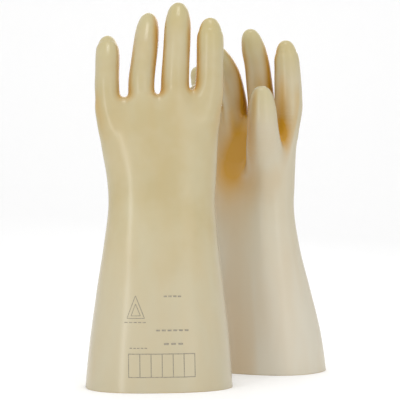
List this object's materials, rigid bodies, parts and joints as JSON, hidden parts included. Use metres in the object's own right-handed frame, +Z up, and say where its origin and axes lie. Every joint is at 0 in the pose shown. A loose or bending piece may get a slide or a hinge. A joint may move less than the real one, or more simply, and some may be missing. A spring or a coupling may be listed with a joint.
{
  "type": "insulating gloves",
  "caption": "Pair of long, thick rubber electrical insulating gloves with bell cuffs and curved fingers, standing on their cuffs, with bending wrists, fingers and thumbs.",
  "frame": {"origin": "on the floor, under the middle of the pair's bounding box", "axes": "+Z up from the cuff edges to the fingertips, -Y the way the left glove's back faces, +X to its thumb side"},
  "size_m": [0.2672, 0.293, 0.408],
  "materials": {
    "latex": "satin",
    "ink": "matte"
  },
  "bodies": {
    "left_cuff": {"left_cuff": "latex", "left_wrist_bend": "latex", "left_date_table": "ink", "left_marks": "ink"},
    "left_hand": {"left_hand": "latex", "left_little_root_bend": "latex", "left_ring_root_bend": "latex", "left_middle_root_bend": "latex", "left_index_root_bend": "latex", "left_thumb_bend": "latex"},
    "left_little_root": {"left_little_root": "latex", "left_little_mid_bend": "latex"},
    "left_little_tip": {"left_little_tip": "latex"},
    "left_ring_root": {"left_ring_root": "latex", "left_ring_mid_bend": "latex"},
    "left_ring_tip": {"left_ring_tip": "latex"},
    "left_middle_root": {"left_middle_root": "latex", "left_middle_mid_bend": "latex"},
    "left_middle_tip": {"left_middle_tip": "latex"},
    "left_index_root": {"left_index_root": "latex", "left_index_mid_bend": "latex"},
    "left_index_tip": {"left_index_tip": "latex"},
    "left_thumb": {"left_thumb_tip": "latex"},
    "right_cuff": {"right_cuff": "latex", "right_wrist_bend": "latex", "right_date_table": "ink", "right_marks": "ink"},
    "right_hand": {"right_hand": "latex", "right_little_root_bend": "latex", "right_ring_root_bend": "latex", "right_middle_root_bend": "latex", "right_index_root_bend": "latex", "right_thumb_bend": "latex"},
    "right_little_root": {"right_little_root": "latex", "right_little_mid_bend": "latex"},
    "right_little_tip": {"right_little_tip": "latex"},
    "right_ring_root": {"right_ring_root": "latex", "right_ring_mid_bend": "latex"},
    "right_ring_tip": {"right_ring_tip": "latex"},
    "right_middle_root": {"right_middle_root": "latex", "right_middle_mid_bend": "latex"},
    "right_middle_tip": {"right_middle_tip": "latex"},
    "right_index_root": {"right_index_root": "latex", "right_index_mid_bend": "latex"},
    "right_index_tip": {"right_index_tip": "latex"},
    "right_thumb": {"right_thumb_tip": "latex"}
  },
  "joints": [
    {"name": "left_wrist", "type": "hinge", "parent": "left_cuff", "child": "left_hand", "pos_m": [-0.05685, -0.06377, 0.195], "axis": [-0.9903, -0.1392, 0], "range_deg": [-25, 35], "stiffness_Nm_per_rad": 3, "deforming": ["left_wrist_bend"]},
    {"name": "left_little_root", "type": "hinge", "parent": "left_hand", "child": "left_little_root", "pos_m": [-0.11413, -0.08192, 0.312], "axis": [-0.9897, -0.1391, 0.0349], "range_deg": [-15, 27], "stiffness_Nm_per_rad": 0.5, "deforming": ["left_little_root_bend"]},
    {"name": "left_little_middle", "type": "hinge", "parent": "left_little_root", "child": "left_little_tip", "pos_m": [-0.1145, -0.07172, 0.34233], "axis": [-0.9897, -0.1391, 0.0349], "range_deg": [-10, 37], "stiffness_Nm_per_rad": 0.3, "deforming": ["left_little_mid_bend"]},
    {"name": "left_ring_root", "type": "hinge", "parent": "left_hand", "child": "left_ring_root", "pos_m": [-0.07848, -0.07691, 0.317], "axis": [-0.9806, -0.1378, 0.1392], "range_deg": [-15, 28], "stiffness_Nm_per_rad": 0.5, "deforming": ["left_ring_root_bend"]},
    {"name": "left_ring_middle", "type": "hinge", "parent": "left_ring_root", "child": "left_ring_tip", "pos_m": [-0.07452, -0.06374, 0.35795], "axis": [-0.9806, -0.1378, 0.1392], "range_deg": [-10, 38], "stiffness_Nm_per_rad": 0.3, "deforming": ["left_ring_mid_bend"]},
    {"name": "left_middle_root", "type": "hinge", "parent": "left_hand", "child": "left_middle_root", "pos_m": [-0.04234, -0.07183, 0.324], "axis": [-0.9879, -0.1388, 0.0698], "range_deg": [-14, 36], "stiffness_Nm_per_rad": 0.5, "deforming": ["left_middle_root_bend"]},
    {"name": "left_middle_middle", "type": "hinge", "parent": "left_middle_root", "child": "left_middle_tip", "pos_m": [-0.04045, -0.06487, 0.36464], "axis": [-0.9879, -0.1388, 0.0698], "range_deg": [-7, 43], "stiffness_Nm_per_rad": 0.3, "deforming": ["left_middle_mid_bend"]},
    {"name": "left_index_root", "type": "hinge", "parent": "left_hand", "child": "left_index_root", "pos_m": [-0.0057, -0.06668, 0.324], "axis": [-0.9901, -0.1392, 0.0175], "range_deg": [-7, 43], "stiffness_Nm_per_rad": 0.5, "deforming": ["left_index_root_bend"]},
    {"name": "left_index_middle", "type": "hinge", "parent": "left_index_root", "child": "left_index_tip", "pos_m": [-0.00527, -0.06566, 0.35648], "axis": [-0.9901, -0.1392, 0.0175], "range_deg": [-1, 49], "stiffness_Nm_per_rad": 0.3, "deforming": ["left_index_mid_bend"]},
    {"name": "left_thumb", "type": "hinge", "parent": "left_hand", "child": "left_thumb", "pos_m": [-0.01984, -0.01817, 0.279], "axis": [0.9879, 0.1388, -0.0698], "range_deg": [-20, 40], "stiffness_Nm_per_rad": 0.6, "deforming": ["left_thumb_bend"]},
    {"name": "right_glove_lift", "type": "slide", "parent": "left_cuff", "child": "right_cuff", "axis": [0, 0, 1], "range_m": [0, 0.45]},
    {"name": "right_wrist", "type": "hinge", "parent": "right_cuff", "child": "right_hand", "pos_m": [0.04121, 0.06291, 0.195], "axis": [0.8387, -0.5446, 0], "range_deg": [-25, 18], "stiffness_Nm_per_rad": 3, "deforming": ["right_wrist_bend"]},
    {"name": "right_little_root", "type": "hinge", "parent": "right_hand", "child": "right_little_root", "pos_m": [-0.00304, 0.10357, 0.312], "axis": [0.8382, -0.5443, -0.0349], "range_deg": [-15, 18], "stiffness_Nm_per_rad": 0.5, "deforming": ["right_little_root_bend"]},
    {"name": "right_little_middle", "type": "hinge", "parent": "right_little_root", "child": "right_little_tip", "pos_m": [-0.01001, 0.09101, 0.3406], "axis": [0.8382, -0.5443, -0.0349], "range_deg": [-10, 31], "stiffness_Nm_per_rad": 0.3, "deforming": ["right_little_mid_bend"]},
    {"name": "right_ring_root", "type": "hinge", "parent": "right_hand", "child": "right_ring_root", "pos_m": [0.02715, 0.08396, 0.317], "axis": [0.8305, -0.5393, -0.1392], "range_deg": [-15, 18], "stiffness_Nm_per_rad": 0.5, "deforming": ["right_ring_root_bend"]},
    {"name": "right_ring_middle", "type": "hinge", "parent": "right_ring_root", "child": "right_ring_tip", "pos_m": [0.01847, 0.06135, 0.35278], "axis": [0.8305, -0.5393, -0.1392], "range_deg": [-10, 26], "stiffness_Nm_per_rad": 0.3, "deforming": ["right_ring_mid_bend"]},
    {"name": "right_middle_root", "type": "hinge", "parent": "right_hand", "child": "right_middle_root", "pos_m": [0.05776, 0.06408, 0.324], "axis": [0.8366, -0.5433, -0.0698], "range_deg": [-15, 25], "stiffness_Nm_per_rad": 0.5, "deforming": ["right_middle_root_bend"]},
    {"name": "right_middle_middle", "type": "hinge", "parent": "right_middle_root", "child": "right_middle_tip", "pos_m": [0.05236, 0.05079, 0.36271], "axis": [0.8366, -0.5433, -0.0698], "range_deg": [-10, 36], "stiffness_Nm_per_rad": 0.3, "deforming": ["right_middle_mid_bend"]},
    {"name": "right_index_root", "type": "hinge", "parent": "right_hand", "child": "right_index_root", "pos_m": [0.0888, 0.04393, 0.324], "axis": [0.8385, -0.5446, -0.0175], "range_deg": [-12, 38], "stiffness_Nm_per_rad": 0.5, "deforming": ["right_index_root_bend"]},
    {"name": "right_index_middle", "type": "hinge", "parent": "right_index_root", "child": "right_index_tip", "pos_m": [0.08722, 0.04046, 0.35628], "axis": [0.8385, -0.5446, -0.0175], "range_deg": [-5, 45], "stiffness_Nm_per_rad": 0.3, "deforming": ["right_index_mid_bend"]},
    {"name": "right_thumb", "type": "hinge", "parent": "right_hand", "child": "right_thumb", "pos_m": [0.05548, 0.00594, 0.279], "axis": [-0.8366, 0.5433, 0.0698], "range_deg": [-20, 40], "stiffness_Nm_per_rad": 0.6, "deforming": ["right_thumb_bend"]}
  ]
}
